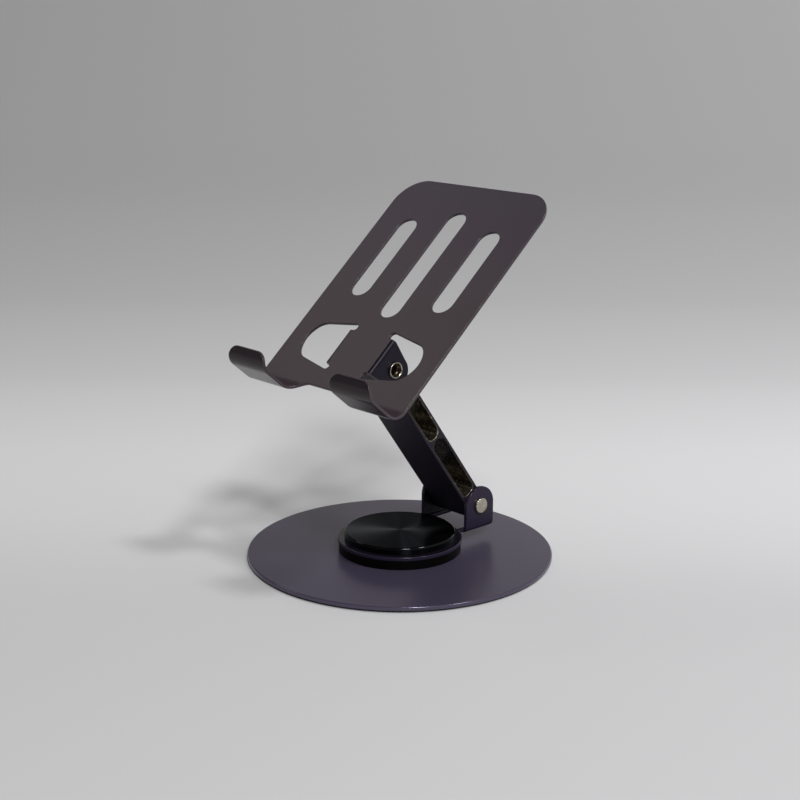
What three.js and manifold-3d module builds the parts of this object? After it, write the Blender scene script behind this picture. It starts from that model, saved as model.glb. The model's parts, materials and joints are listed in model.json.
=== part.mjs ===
// Folding phone stand: a round base, a turntable with two ears, a slotted arm and a hooked tray.
// Millimetres, +Z up. The origin is the middle of the base on the desk. The phone side is -Y.
import * as THREE from 'three';
import { mergeVertices } from 'three/addons/utils/BufferGeometryUtils.js';
import Module from 'manifold-3d';

const wasm = await Module();
wasm.setup();

// ---- driving dimensions ----
const DEG = Math.PI / 180;
const FINE = 96; // facets round the base
const MEDIUM = 72; // facets round the turntable's discs
const COARSE = 28; // facets round pins, bushes and washers

// base
const BASE_RADIUS = 55;
const PAD_THICKNESS = 0.8;
const PAD_INSET = 0.9;
const PLATE_THICKNESS = 1.4;
const PLATE_EDGE = 0.45;
const PLATE_TOP = PAD_THICKNESS + PLATE_THICKNESS;

// turntable
const BEARING_RADIUS = 22.1;
const BEARING_HEIGHT = 3.35;
const RUNNING_GAP = 0.05;
const TABLE_BOTTOM = PLATE_TOP + BEARING_HEIGHT + RUNNING_GAP;
const TABLE_SHEET = 1.4;
const TABLE_TOP = TABLE_BOTTOM + TABLE_SHEET;
const TABLE_RADIUS = 22.5;
const STUD_RADIUS = 4;
const STUD_NECK = 3;
const CAP_RADIUS = 20;
const CAP_TOP = 9.5;
const CAP_SHEET = 0.7;

// ears of the turntable
const EAR_OUTER = 11.95;
const EAR_SHEET = 1.35;
const EAR_BEND = 1.75;
const EAR_RADIUS = 7.1;
const TONGUE_INNER = 8.7;
const TONGUE_START = 8; // where a tongue leaves the disc, well inside its rim
const REAR_CORNER = 0.6;

// hinges
const LOWER_PIVOT = new THREE.Vector3(0, 29.2, 14.9);
const ARM_LENGTH = 72.2;
const ARM_ELEVATION = 53.7; // degrees above the desk, leaning towards the phone side
const TRAY_TILT = 41.3; // degrees above the desk
const RIVET_SHANK = 2;
const RIVET_HEAD = 2.9;
const RIVET_HEAD_HEIGHT = 0.95;
const RIVET_HOLE = RIVET_SHANK + 0.02;
const ROLL_HEIGHT = 0.85;
const HOLLOW_RADIUS = 1.35;
const HOLLOW_DEPTH = 5;
const BUSH_RADIUS = 3;
const BUSH_LENGTH = 6;
const FLANGE_RADIUS = 3.85;
const FLANGE_THICKNESS = 0.3;
const PIN_GAP = 0.05;

// arm
const ARM_HALF_WIDTH = 10.2;
const ARM_HALF_DEPTH = 4.05;
const ARM_END = 5; // beyond each pivot
const ARM_CORNER = 1.2;
const WINDOW_HALF_DEPTH = 2.8;
const WINDOW_START = 6.6; // from the pivot
const RIB = 1.4;

// tray: x across, s up the slope from the pivot's level line, d out of its front face
const TRAY_SHEET = 1.1;
const TRAY_HALF_WIDTH = 36.8;
const PIVOT_S = 38.1;
const PIVOT_DEPTH = 8.05; // pivot behind the front face
const TRAY_TOP = 114.8;
const TRAY_CORNER = 11.6;
const TRAY_BOTTOM = 20;
const SLOT_HALF_WIDTH = 4.5;
const SLOTS = [
  { x: -20.6, from: 59.2, to: 96 },
  { x: 0, from: 52.9, to: 101.9 },
  { x: 20.6, from: 59.2, to: 96 },
];
const TRAY_EAR_OUTER = 11.7;
const TRAY_EAR_BEND = 1.5;
const TRAY_EAR_ROOT = [30, 45];
const TRAY_EAR_END = { d: -9.2, s: 37.9, radius: 5.75 };
const RELIEF = { inner: 8.5, height: 2.6 };
const HOOK_INNER = 17;
const HOOK_FILLET = 6;
const HOOK_BEND_RADIUS = 4.8; // inside radius at the root
const HOOK_DROOP = 8.5; // degrees the hook floor falls away from square
const HOOK_FLOOR = 8.3;
const LIP_BEND_RADIUS = 3.9; // inside radius
const LIP_ANGLE = 55; // degrees above the tray's normal
const LIP_STRAIGHT = 2.7;
const LIP_CORNER = 4.5;

// ---- solids ----
function toSolid(geometry) {
  const bare = geometry.clone();
  bare.deleteAttribute('normal');
  bare.deleteAttribute('uv');
  const merged = mergeVertices(bare, 1e-4);
  const index = merged.index.array;
  const kept = [];
  for (let i = 0; i < index.length; i += 3) {
    const [a, b, c] = [index[i], index[i + 1], index[i + 2]];
    if (a !== b && b !== c && c !== a) kept.push(a, b, c);
  }
  const vertProperties = Float32Array.from(merged.attributes.position.array);
  const triVerts = Uint32Array.from(kept);
  return new wasm.Manifold(new wasm.Mesh({ numProp: 3, vertProperties, triVerts }));
}

function toGeometry(solid) {
  const mesh = solid.getMesh();
  const positions = Float32Array.from(mesh.vertProperties);
  const geometry = new THREE.BufferGeometry();
  geometry.setAttribute('position', new THREE.BufferAttribute(positions, 3));
  geometry.setIndex(new THREE.BufferAttribute(Uint32Array.from(mesh.triVerts), 1));
  return geometry;
}

function joinAll(solids) {
  return solids.reduce((sum, next) => sum.add(next));
}

function cutAll(body, tools) {
  return tools.reduce((rest, tool) => rest.subtract(tool), body);
}

// A closed profile of [radius, z] pairs, listed anticlockwise, turned about Z.
function turned(profile, facets = COARSE) {
  const points = [...profile, profile[0]].map(([r, z]) => new THREE.Vector2(r, z));
  return toSolid(new THREE.LatheGeometry(points, facets).rotateX(Math.PI / 2));
}

// The same, turned about X: profile of [radius, x] pairs.
function turnedAboutX(profile, facets = COARSE) {
  const points = [...profile, profile[0]].map(([r, x]) => new THREE.Vector2(r, x));
  return toSolid(new THREE.LatheGeometry(points, facets).rotateZ(-Math.PI / 2));
}

// A drill from x0 to x1, for cutting.
function boreAlongX(radius, x0, x1) {
  return turnedAboutX([[0, x0], [radius, x0], [radius, x1], [0, x1]]);
}

function extrude(shape, depth, curveSegments = 12) {
  return new THREE.ExtrudeGeometry(shape, { depth, bevelEnabled: false, curveSegments });
}

// Extrudes a shape drawn in XY from z0 to z1.
function alongZ(shape, z0, z1, curveSegments) {
  return toSolid(extrude(shape, z1 - z0, curveSegments).translate(0, 0, z0));
}

// Extrudes a shape drawn in (y, z) from x0 to x1.
function alongX(shape, x0, x1, curveSegments) {
  const turn = new THREE.Matrix4().makeBasis(
    new THREE.Vector3(0, 1, 0),
    new THREE.Vector3(0, 0, 1),
    new THREE.Vector3(1, 0, 0),
  );
  const geometry = extrude(shape, x1 - x0, curveSegments).applyMatrix4(turn).translate(x0, 0, 0);
  return toSolid(geometry);
}

// Extrudes a shape drawn in (x, z) from y0 to y1.
function alongY(shape, y0, y1, curveSegments) {
  const turn = new THREE.Matrix4().makeBasis(
    new THREE.Vector3(1, 0, 0),
    new THREE.Vector3(0, 0, 1),
    new THREE.Vector3(0, -1, 0),
  );
  const geometry = extrude(shape, y1 - y0, curveSegments).applyMatrix4(turn).translate(0, y1, 0);
  return toSolid(geometry);
}

function mirrorX(solid) {
  return solid.mirror([1, 0, 0]);
}

// ---- outlines ----
function roundedBox(x0, y0, x1, y1, radius) {
  const shape = new THREE.Shape();
  shape.moveTo(x0 + radius, y0);
  shape.lineTo(x1 - radius, y0);
  shape.absarc(x1 - radius, y0 + radius, radius, -90 * DEG, 0);
  shape.lineTo(x1, y1 - radius);
  shape.absarc(x1 - radius, y1 - radius, radius, 0, 90 * DEG);
  shape.lineTo(x0 + radius, y1);
  shape.absarc(x0 + radius, y1 - radius, radius, 90 * DEG, 180 * DEG);
  shape.lineTo(x0, y0 + radius);
  shape.absarc(x0 + radius, y0 + radius, radius, 180 * DEG, 270 * DEG);
  return shape;
}

function slotShape(x, from, to, halfWidth) {
  return roundedBox(x - halfWidth, from, x + halfWidth, to, halfWidth);
}

// Quarter of a bent sheet: from flat, running +u at w = 0, to upright at u = outer.
// Each end runs on by a short lap, so that the flat and the upright join it.
function bendShape(outer, sheet) {
  const lap = 0.4;
  const shape = new THREE.Shape();
  shape.moveTo(-lap, 0);
  shape.absarc(0, outer, outer, -90 * DEG, 0);
  shape.lineTo(outer, outer + lap);
  shape.lineTo(outer - sheet, outer + lap);
  shape.absarc(0, outer, outer - sheet, 0, -90 * DEG, true);
  shape.lineTo(-lap, sheet);
  return shape;
}

// Profile of a turned disc whose outer edge is rounded top and bottom.
function discProfile(inner, outer, z0, z1, edge) {
  const profile = [[inner, z0]];
  const steps = 2;
  for (const [centre, start] of [[z0 + edge, -90], [z1 - edge, 0]]) {
    for (let i = 0; i <= steps; i += 1) {
      const angle = (start + (90 * i) / steps) * DEG;
      profile.push([outer - edge + edge * Math.cos(angle), centre + edge * Math.sin(angle)]);
    }
  }
  profile.push([inner, z1]);
  return profile;
}

// ---- base ----
function basePad() {
  const hole = 9;
  const outer = BASE_RADIUS - PAD_INSET;
  return turned([[hole, 0], [outer, 0], [outer, PAD_THICKNESS], [hole, PAD_THICKNESS]], FINE);
}

function basePlate() {
  const hole = STUD_RADIUS + 0.02;
  return turned(discProfile(hole, BASE_RADIUS, PAD_THICKNESS, PLATE_TOP, PLATE_EDGE), FINE);
}

function bearingRing() {
  const top = PLATE_TOP + BEARING_HEIGHT;
  const bore = STUD_RADIUS + 0.1;
  const hub = bore + 4;
  const rim = 17.5;
  const recess = 0.8;
  return turned([
    [bore, PLATE_TOP],
    [BEARING_RADIUS, PLATE_TOP],
    [BEARING_RADIUS, top],
    [rim, top],
    [rim, top - recess],
    [hub, top - recess],
    [hub, top],
    [bore, top],
  ], MEDIUM);
}

const SHOULDER_TOP = TABLE_TOP + 0.05;
const SLIDE_WASHER_TOP = SHOULDER_TOP + 0.4;
const WAVE_WASHER_TOP = SLIDE_WASHER_TOP + 0.5;
const STUD_TOP = WAVE_WASHER_TOP + 0.6;

function swivelStud() {
  const flange = 8;
  const peened = 5;
  return turned([
    [0, 0.1],
    [flange, 0.1],
    [flange, PAD_THICKNESS],
    [STUD_RADIUS, PAD_THICKNESS],
    [STUD_RADIUS, SHOULDER_TOP],
    [STUD_NECK, SHOULDER_TOP],
    [STUD_NECK, WAVE_WASHER_TOP],
    [peened - 0.2, WAVE_WASHER_TOP],
    [peened, WAVE_WASHER_TOP + 0.25],
    [peened - 0.8, STUD_TOP],
    [0, STUD_TOP],
  ]);
}

function slideWasher() {
  return turned(discProfile(STUD_NECK + 0.05, 8, SHOULDER_TOP, SLIDE_WASHER_TOP, 0.1));
}

function waveWasher() {
  const sheet = 0.3;
  const outer = 7.2;
  const inner = STUD_NECK + 0.1;
  return turned([
    [inner, WAVE_WASHER_TOP - sheet],
    [outer, SLIDE_WASHER_TOP],
    [outer, SLIDE_WASHER_TOP + sheet],
    [inner, WAVE_WASHER_TOP],
  ]);
}

// ---- turntable ----
function turntableEar() {
  const flat = EAR_OUTER - EAR_BEND;
  const front = LOWER_PIVOT.y - EAR_RADIUS;
  const rear = LOWER_PIVOT.y + EAR_RADIUS;
  const upright = new THREE.Shape();
  upright.moveTo(front, TABLE_BOTTOM + EAR_BEND);
  upright.lineTo(rear, TABLE_BOTTOM + EAR_BEND);
  upright.absarc(LOWER_PIVOT.y, LOWER_PIVOT.z, EAR_RADIUS, 0, 180 * DEG);
  const bend = alongY(bendShape(EAR_BEND, EAR_SHEET), front, rear - REAR_CORNER, 5)
    .translate([flat, 0, TABLE_BOTTOM]);
  const tongue = alongZ(
    roundedBox(TONGUE_INNER, TONGUE_START, flat, rear - REAR_CORNER, REAR_CORNER),
    TABLE_BOTTOM, TABLE_BOTTOM + EAR_SHEET, 2,
  );
  const ear = alongX(upright, EAR_OUTER - EAR_SHEET, EAR_OUTER, 14);
  const bore = boreAlongX(RIVET_HOLE, EAR_OUTER - EAR_SHEET - 1, EAR_OUTER + 1)
    .translate([0, LOWER_PIVOT.y, LOWER_PIVOT.z]);
  return { body: joinAll([bend, tongue, ear]), bore };
}

function swivelBracket() {
  const hole = STUD_RADIUS + 0.1;
  const disc = turned(discProfile(hole, TABLE_RADIUS, TABLE_BOTTOM, TABLE_TOP, 0.4), MEDIUM);
  const { body, bore } = turntableEar();
  return cutAll(joinAll([disc, body, mirrorX(body)]), [bore, mirrorX(bore)]);
}

function hubCap() {
  const wall = 0.8;
  const edge = 0.6;
  const inner = CAP_RADIUS - wall;
  return turned([
    [inner, TABLE_TOP],
    [CAP_RADIUS, TABLE_TOP],
    [CAP_RADIUS, CAP_TOP - edge],
    [CAP_RADIUS - edge * (1 - Math.SQRT1_2), CAP_TOP - edge * (1 - Math.SQRT1_2)],
    [CAP_RADIUS - edge, CAP_TOP],
    [0, CAP_TOP],
    [0, CAP_TOP - CAP_SHEET],
    [inner, CAP_TOP - CAP_SHEET],
  ], MEDIUM);
}

function capFoamRing() {
  const inner = 11;
  const outer = 18.8;
  const top = CAP_TOP - CAP_SHEET;
  return turned([[inner, TABLE_TOP], [outer, TABLE_TOP], [outer, top], [inner, top]]);
}

// ---- hinge hardware, drawn about X with the solid head on the +X side ----
// The other end is hollow, and its rim is rolled outwards over the ear.
function rivet(earOuter) {
  const headEnd = earOuter + RIVET_HEAD_HEIGHT;
  const headEdge = 0.25;
  const rollEnd = -earOuter - ROLL_HEIGHT;
  const rollCrest = RIVET_HEAD - 0.45;
  const rollInner = RIVET_SHANK + 0.05;
  const hollowEnd = -earOuter + HOLLOW_DEPTH;
  return turnedAboutX([
    [0, hollowEnd],
    [HOLLOW_RADIUS, hollowEnd - 0.4],
    [HOLLOW_RADIUS, rollEnd + 0.9],
    [rollInner, rollEnd + 0.1],
    [rollCrest, rollEnd],
    [RIVET_HEAD, rollEnd + 0.35],
    [RIVET_HEAD, rollEnd + 0.6],
    [rollCrest, -earOuter],
    [RIVET_SHANK, -earOuter],
    [RIVET_SHANK, earOuter],
    [RIVET_HEAD, earOuter],
    [RIVET_HEAD, headEnd - headEdge],
    [RIVET_HEAD - headEdge, headEnd],
    [0, headEnd],
  ]);
}

function bush() {
  const bore = RIVET_SHANK + PIN_GAP;
  return turnedAboutX([
    [bore, ARM_HALF_WIDTH - BUSH_LENGTH],
    [BUSH_RADIUS, ARM_HALF_WIDTH - BUSH_LENGTH],
    [BUSH_RADIUS, ARM_HALF_WIDTH],
    [FLANGE_RADIUS, ARM_HALF_WIDTH],
    [FLANGE_RADIUS, ARM_HALF_WIDTH + FLANGE_THICKNESS],
    [bore, ARM_HALF_WIDTH + FLANGE_THICKNESS],
  ]);
}

// ---- arm, drawn with y from the lower to the upper pivot and z to its front ----
function armWindow(from, to, endRadius) {
  const shape = new THREE.Shape();
  const half = WINDOW_HALF_DEPTH;
  const corner = 1.6;
  shape.moveTo(from + corner, -half);
  shape.lineTo(to - endRadius, -half);
  shape.absarc(to - endRadius, 0, endRadius, -90 * DEG, 90 * DEG);
  shape.lineTo(from + corner, half);
  shape.absarc(from + corner, half - corner, corner, 90 * DEG, 180 * DEG);
  shape.absarc(from + corner, -half + corner, corner, 180 * DEG, 270 * DEG);
  return alongX(shape, -ARM_HALF_WIDTH - 1, ARM_HALF_WIDTH + 1, 8);
}

function arm() {
  const outline = roundedBox(-ARM_END, -ARM_HALF_DEPTH, ARM_LENGTH + ARM_END, ARM_HALF_DEPTH, ARM_CORNER);
  const blank = alongX(outline, -ARM_HALF_WIDTH, ARM_HALF_WIDTH, 3);
  const lower = armWindow(WINDOW_START, (ARM_LENGTH - RIB) / 2, WINDOW_HALF_DEPTH);
  const upper = lower.mirror([0, 1, 0]).translate([0, ARM_LENGTH, 0]);
  const bore = boreAlongX(BUSH_RADIUS + 0.02, -ARM_HALF_WIDTH - 1, ARM_HALF_WIDTH + 1);
  return cutAll(blank, [lower, upper, bore, bore.translate([0, ARM_LENGTH, 0])]);
}

// ---- tray, drawn in (x, s, d) ----
function dCutOut() {
  const root = TRAY_EAR_OUTER - TRAY_EAR_BEND;
  const [low, high] = TRAY_EAR_ROOT;
  const { inner, height } = RELIEF;
  const shape = new THREE.Shape();
  const round = height / 2;
  const belly = 28.75;
  shape.moveTo(root, low);
  shape.lineTo(inner + round, low);
  shape.absarc(inner + round, low - round, round, 90 * DEG, 270 * DEG);
  shape.lineTo(22.6, 29.7);
  shape.quadraticCurveTo(25.7, 30.3, 27.2, 32.7);
  shape.quadraticCurveTo(belly, 35.2, belly, 37.7);
  shape.quadraticCurveTo(belly, 40.4, 27.2, 42.7);
  shape.quadraticCurveTo(25.7, 44.9, 22.9, 45.4);
  shape.lineTo(inner + round, high + height);
  shape.absarc(inner + round, high + round, round, 90 * DEG, 270 * DEG);
  shape.lineTo(root, high);
  return alongZ(shape, -TRAY_SHEET - 1, 1, 5);
}

function trayPlate() {
  const shape = new THREE.Shape();
  const w = TRAY_HALF_WIDTH;
  shape.moveTo(-w, TRAY_BOTTOM);
  shape.lineTo(w, TRAY_BOTTOM);
  shape.lineTo(w, TRAY_TOP - TRAY_CORNER);
  shape.absarc(w - TRAY_CORNER, TRAY_TOP - TRAY_CORNER, TRAY_CORNER, 0, 90 * DEG);
  shape.absarc(-w + TRAY_CORNER, TRAY_TOP - TRAY_CORNER, TRAY_CORNER, 90 * DEG, 180 * DEG);
  const blank = alongZ(shape, -TRAY_SHEET, 0, 10);
  const slots = SLOTS.map(({ x, from, to }) => (
    alongZ(slotShape(x, from, to, SLOT_HALF_WIDTH), -TRAY_SHEET - 1, 1, 6)));
  const cutOut = dCutOut();
  return cutAll(blank, [...slots, cutOut, mirrorX(cutOut)]);
}

function trayEar() {
  const flat = TRAY_EAR_OUTER - TRAY_EAR_BEND;
  const [low, high] = TRAY_EAR_ROOT;
  const { d, s, radius } = TRAY_EAR_END;
  const outline = new THREE.Shape();
  outline.moveTo(low, -TRAY_EAR_BEND);
  outline.lineTo(s - radius, d);
  outline.absarc(s, d, radius, 180 * DEG, 360 * DEG);
  outline.lineTo(high, -TRAY_EAR_BEND);
  const ear = alongX(outline, TRAY_EAR_OUTER - TRAY_SHEET, TRAY_EAR_OUTER, 14);
  const bend = alongY(bendShape(TRAY_EAR_BEND, TRAY_SHEET), low, high, 5)
    .mirror([0, 0, 1]).translate([flat, 0, 0]);
  return ear.add(bend);
}

// Profile of one hook in (s, d), from the tray's lower edge to the lip's tip.
function hookProfile() {
  const centre = { s: TRAY_BOTTOM, d: HOOK_BEND_RADIUS };
  const turn = 90 - HOOK_DROOP;
  const rootSteps = 7;
  const lipSteps = 6;
  const inside = [];
  const outside = [];
  const put = (s, d, heading) => {
    const normal = { s: Math.cos(heading * DEG), d: -Math.sin(heading * DEG) };
    inside.push([s, d]);
    outside.push([s - normal.s * TRAY_SHEET, d - normal.d * TRAY_SHEET]);
  };
  // heading is the sheet's direction, in degrees from +d towards +s; the inside is on its +s side
  for (let i = 0; i <= rootSteps; i += 1) {
    const heading = -90 + (turn * i) / rootSteps;
    put(
      centre.s - HOOK_BEND_RADIUS * Math.cos(heading * DEG),
      centre.d + HOOK_BEND_RADIUS * Math.sin(heading * DEG),
      heading,
    );
  }
  const droop = -HOOK_DROOP;
  let [s, d] = inside[inside.length - 1];
  s += HOOK_FLOOR * Math.sin(droop * DEG);
  d += HOOK_FLOOR * Math.cos(droop * DEG);
  const lipCentre = {
    s: s + LIP_BEND_RADIUS * Math.cos(droop * DEG),
    d: d - LIP_BEND_RADIUS * Math.sin(droop * DEG),
  };
  for (let i = 0; i <= lipSteps; i += 1) {
    const heading = droop + ((LIP_ANGLE - droop) * i) / lipSteps;
    put(
      lipCentre.s - LIP_BEND_RADIUS * Math.cos(heading * DEG),
      lipCentre.d + LIP_BEND_RADIUS * Math.sin(heading * DEG),
      heading,
    );
  }
  [s, d] = inside[inside.length - 1];
  s += LIP_STRAIGHT * Math.sin(LIP_ANGLE * DEG);
  d += LIP_STRAIGHT * Math.cos(LIP_ANGLE * DEG);
  put(s, d, LIP_ANGLE);
  const points = [...outside, ...inside.reverse()].map(([a, b]) => new THREE.Vector2(a, b));
  return { shape: new THREE.Shape(points), tip: points[outside.length - 1] };
}

// Removes what lies beyond a filleted notch between the hook and the tray's lower edge.
// It is square to the middle of the root bend.
function notchCutter() {
  const slope = (90 - HOOK_DROOP) / 2;
  const size = 40; // past every face of the hook
  const shape = new THREE.Shape();
  shape.moveTo(0, 0);
  shape.lineTo(HOOK_INNER - HOOK_FILLET, 0);
  shape.absarc(HOOK_INNER - HOOK_FILLET, -HOOK_FILLET, HOOK_FILLET, 90 * DEG, 0, true);
  shape.lineTo(HOOK_INNER, -size);
  shape.lineTo(0, -size);
  const block = extrude(shape, 2 * size, 6).translate(0, 0, -size);
  return toSolid(block.rotateX(-slope * DEG).translate(0, TRAY_BOTTOM, -TRAY_SHEET / 2));
}

// Rounds both corners of the lip: an outline seen square to the lip, with the rest removed.
function lipCutter(tip) {
  const size = 12; // past the hook's floor
  const thickness = 6;
  const frame = new THREE.Shape();
  frame.moveTo(HOOK_INNER - 1, 1);
  frame.lineTo(HOOK_INNER - 1, -size);
  frame.lineTo(HOOK_INNER, -size);
  frame.lineTo(HOOK_INNER, -LIP_CORNER);
  frame.absarc(HOOK_INNER + LIP_CORNER, -LIP_CORNER, LIP_CORNER, 180 * DEG, 90 * DEG, true);
  frame.lineTo(TRAY_HALF_WIDTH - LIP_CORNER, 0);
  frame.absarc(TRAY_HALF_WIDTH - LIP_CORNER, -LIP_CORNER, LIP_CORNER, 90 * DEG, 0, true);
  frame.lineTo(TRAY_HALF_WIDTH, -size);
  frame.lineTo(TRAY_HALF_WIDTH + 1, -size);
  frame.lineTo(TRAY_HALF_WIDTH + 1, 1);
  const block = extrude(frame, thickness, 6).translate(0, 0, -thickness / 2);
  return toSolid(block.rotateX((90 - LIP_ANGLE) * DEG).translate(0, tip.x, tip.y));
}

function hook() {
  const { shape, tip } = hookProfile();
  const strip = alongX(shape, HOOK_INNER - HOOK_FILLET, TRAY_HALF_WIDTH);
  return cutAll(strip, [notchCutter(), lipCutter(tip)]);
}

function tray() {
  const ear = trayEar();
  const bore = boreAlongX(RIVET_HOLE, TRAY_EAR_OUTER - TRAY_SHEET - 1, TRAY_EAR_OUTER + 1)
    .translate([0, PIVOT_S, -PIVOT_DEPTH]);
  const claw = hook();
  const body = joinAll([trayPlate(), ear, mirrorX(ear), claw, mirrorX(claw)]);
  return cutAll(body, [bore, mirrorX(bore)]).translate([0, -PIVOT_S, PIVOT_DEPTH]);
}

// ---- materials ----
function finish(color, roughness, metalness) {
  return new THREE.MeshStandardMaterial({ color, roughness, metalness });
}

const PURPLE_GREY = finish(0x4a4450, 0.5, 0.55);
const PURPLE_BROWN = finish(0x4c4043, 0.45, 0.6);
const DARK_PURPLE = finish(0x2a2532, 0.4, 0.6);
const GLOSS_BLACK = finish(0x121214, 0.2, 0.5);
const BLACK_PLASTIC = finish(0x161618, 0.5, 0);
const WHITE_NYLON = finish(0xd8d6cc, 0.6, 0);
const NICKEL = finish(0xc8c2b4, 0.3, 0.9);
const STEEL = finish(0x9a9a9c, 0.35, 0.9);
const FOAM = finish(0xe4e4e0, 0.9, 0);
const RUBBER = finish(0x1c1c1c, 0.9, 0);

// ---- assembly ----
function place(parent, name, solid, material) {
  const mesh = new THREE.Mesh(toGeometry(solid), material);
  mesh.name = name;
  parent.add(mesh);
  return mesh;
}

const stand = new THREE.Group();
place(stand, 'base_pad', basePad(), RUBBER);
place(stand, 'base_plate', basePlate(), PURPLE_GREY);
place(stand, 'bearing_ring', bearingRing(), BLACK_PLASTIC);
place(stand, 'swivel_stud', swivelStud(), STEEL);
place(stand, 'slide_washer', slideWasher(), STEEL);
place(stand, 'wave_washer', waveWasher(), STEEL);
place(stand, 'swivel_bracket', swivelBracket(), DARK_PURPLE);
place(stand, 'hub_cap', hubCap(), GLOSS_BLACK);
place(stand, 'cap_foam_ring', capFoamRing(), FOAM);
place(stand, 'lower_rivet', rivet(EAR_OUTER), NICKEL).position.copy(LOWER_PIVOT);

const armGroup = new THREE.Group();
armGroup.position.copy(LOWER_PIVOT);
armGroup.rotation.x = (180 - ARM_ELEVATION) * DEG;
stand.add(armGroup);
place(armGroup, 'arm', arm(), DARK_PURPLE);
for (const [hinge, along] of [['lower', 0], ['upper', ARM_LENGTH]]) {
  place(armGroup, `${hinge}_bush_right`, bush(), WHITE_NYLON).position.y = along;
  place(armGroup, `${hinge}_bush_left`, mirrorX(bush()), WHITE_NYLON).position.y = along;
}

const trayGroup = new THREE.Group();
trayGroup.position.set(
  0,
  LOWER_PIVOT.y - ARM_LENGTH * Math.cos(ARM_ELEVATION * DEG),
  LOWER_PIVOT.z + ARM_LENGTH * Math.sin(ARM_ELEVATION * DEG),
);
trayGroup.rotation.x = TRAY_TILT * DEG;
stand.add(trayGroup);
place(trayGroup, 'tray', tray(), PURPLE_BROWN);
place(trayGroup, 'upper_rivet', mirrorX(rivet(TRAY_EAR_OUTER)), NICKEL);

export default stand;
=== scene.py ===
"""Looks of the folding phone stand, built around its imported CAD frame.

Lengths inside the piece functions are millimetres; meshes are written in metres, in the CAD frame.
"""

import json
import math

import bpy
import numpy as np
from mathutils import Matrix, Vector
from mathutils.geometry import delaunay_2d_cdt


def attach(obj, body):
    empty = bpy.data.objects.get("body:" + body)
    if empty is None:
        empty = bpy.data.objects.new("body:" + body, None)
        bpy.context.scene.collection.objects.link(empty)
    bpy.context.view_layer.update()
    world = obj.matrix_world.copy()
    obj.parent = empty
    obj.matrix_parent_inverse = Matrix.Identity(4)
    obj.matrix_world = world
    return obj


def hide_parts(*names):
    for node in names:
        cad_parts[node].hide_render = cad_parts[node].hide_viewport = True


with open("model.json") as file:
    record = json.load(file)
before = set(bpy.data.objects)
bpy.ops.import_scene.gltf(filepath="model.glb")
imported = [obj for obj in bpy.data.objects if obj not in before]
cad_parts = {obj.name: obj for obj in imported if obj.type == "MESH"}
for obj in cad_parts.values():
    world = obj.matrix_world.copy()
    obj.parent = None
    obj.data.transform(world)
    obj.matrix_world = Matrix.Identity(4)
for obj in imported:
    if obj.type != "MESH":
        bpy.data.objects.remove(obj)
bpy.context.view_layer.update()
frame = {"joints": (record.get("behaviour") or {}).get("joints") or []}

MM = 0.001
QUARTER = math.pi / 2

# ---- driving dimensions, in millimetres ----
# Base, turntable, stud and cap. Tops and bottoms are heights above the desk.
BASE_RADIUS = 55
PAD_THICKNESS = 0.8
PAD_INSET = 0.9
PLATE_TOP = 2.2
BEARING_RADIUS = 22.1
TABLE_BOTTOM = 5.6
TABLE_TOP = 7.0
TABLE_RADIUS = 22.5
STUD_RADIUS = 4
STUD_NECK = 3
STUD_HEAD = 0.6
SLIDE_WASHER = 0.4
WAVE_WASHER = 0.5
CAP_RADIUS = 20
CAP_TOP = 9.5
CAP_SHEET = 0.7

# The turntable's ears. Each stands on a tongue of sheet behind the disc, from x = TONGUE_INNER out.
EAR_OUTER = 11.95
EAR_BEND = 1.75
EAR_RADIUS = 7.1
TONGUE_INNER = 8.7
REAR_CORNER = 0.6

# Rivets and bushes of both hinges. RIVET_SHANK and RIVET_HEAD are radii.
RIVET_SHANK = 2
RIVET_HEAD = 2.9
RIVET_HEAD_HEIGHT = 0.95
ROLL_HEIGHT = 0.85
HOLLOW_RADIUS = 1.35
HOLLOW_DEPTH = 5
BUSH_RADIUS = 3
BUSH_LENGTH = 6
FLANGE_RADIUS = 3.85
FLANGE_THICKNESS = 0.25

# The arm and its two windows. Depths are from its back to its front.
ARM_HALF_WIDTH = 10.2
ARM_HALF_DEPTH = 4.05
ARM_END = 5
ARM_CORNER = 1.2
WINDOW_HALF_DEPTH = 2.8
WINDOW_START = 6.6
WINDOW_CORNER = 1.6
RIB = 1.4
ARM_EDGE = 0.35

# The tray, drawn flat in (x, s), where s runs up its slope. Its top, bottom, slots and ears are
# given in s. The hinge is at s = PIVOT_S, PIVOT_DEPTH behind the front face.
TRAY_TILT = math.radians(41.3)
TRAY_SHEET = 1.1
TRAY_HALF_WIDTH = 36.8
PIVOT_S = 38.1
PIVOT_DEPTH = 8.05
TRAY_TOP = 114.8
TRAY_CORNER = 11.6
TRAY_BOTTOM = 20
SLOT_HALF_WIDTH = 4.5
SLOTS = [(-20.6, 59.2, 96), (0, 52.9, 101.9), (20.6, 59.2, 96)]  # middle x, lowest s, highest s
TRAY_EAR_OUTER = 11.7
TRAY_EAR_BEND = 1.5
TRAY_EAR_LOW = 30
TRAY_EAR_HIGH = 45
TRAY_EAR_END_S = 37.9
TRAY_EAR_END_DEPTH = 9.2
TRAY_EAR_END_RADIUS = 5.75
HOOK_INNER = 17
HOOK_FILLET = 6
HOOK_BEND_RADIUS = 4.8
HOOK_DROOP = math.radians(8.5)
HOOK_FLOOR = 8.3
LIP_BEND_RADIUS = 3.9
LIP_ANGLE = math.radians(55)
LIP_STRAIGHT = 2.7
LIP_CORNER = 4.5

# Gaps around pins and between faces that run on each other, and small corner radii.
BORE_GAP = 0.02
RUNNING_GAP = 0.05
LOOSE_GAP = 0.1
CRISP = 0.1
SHEET_EDGE = 0.3

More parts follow.
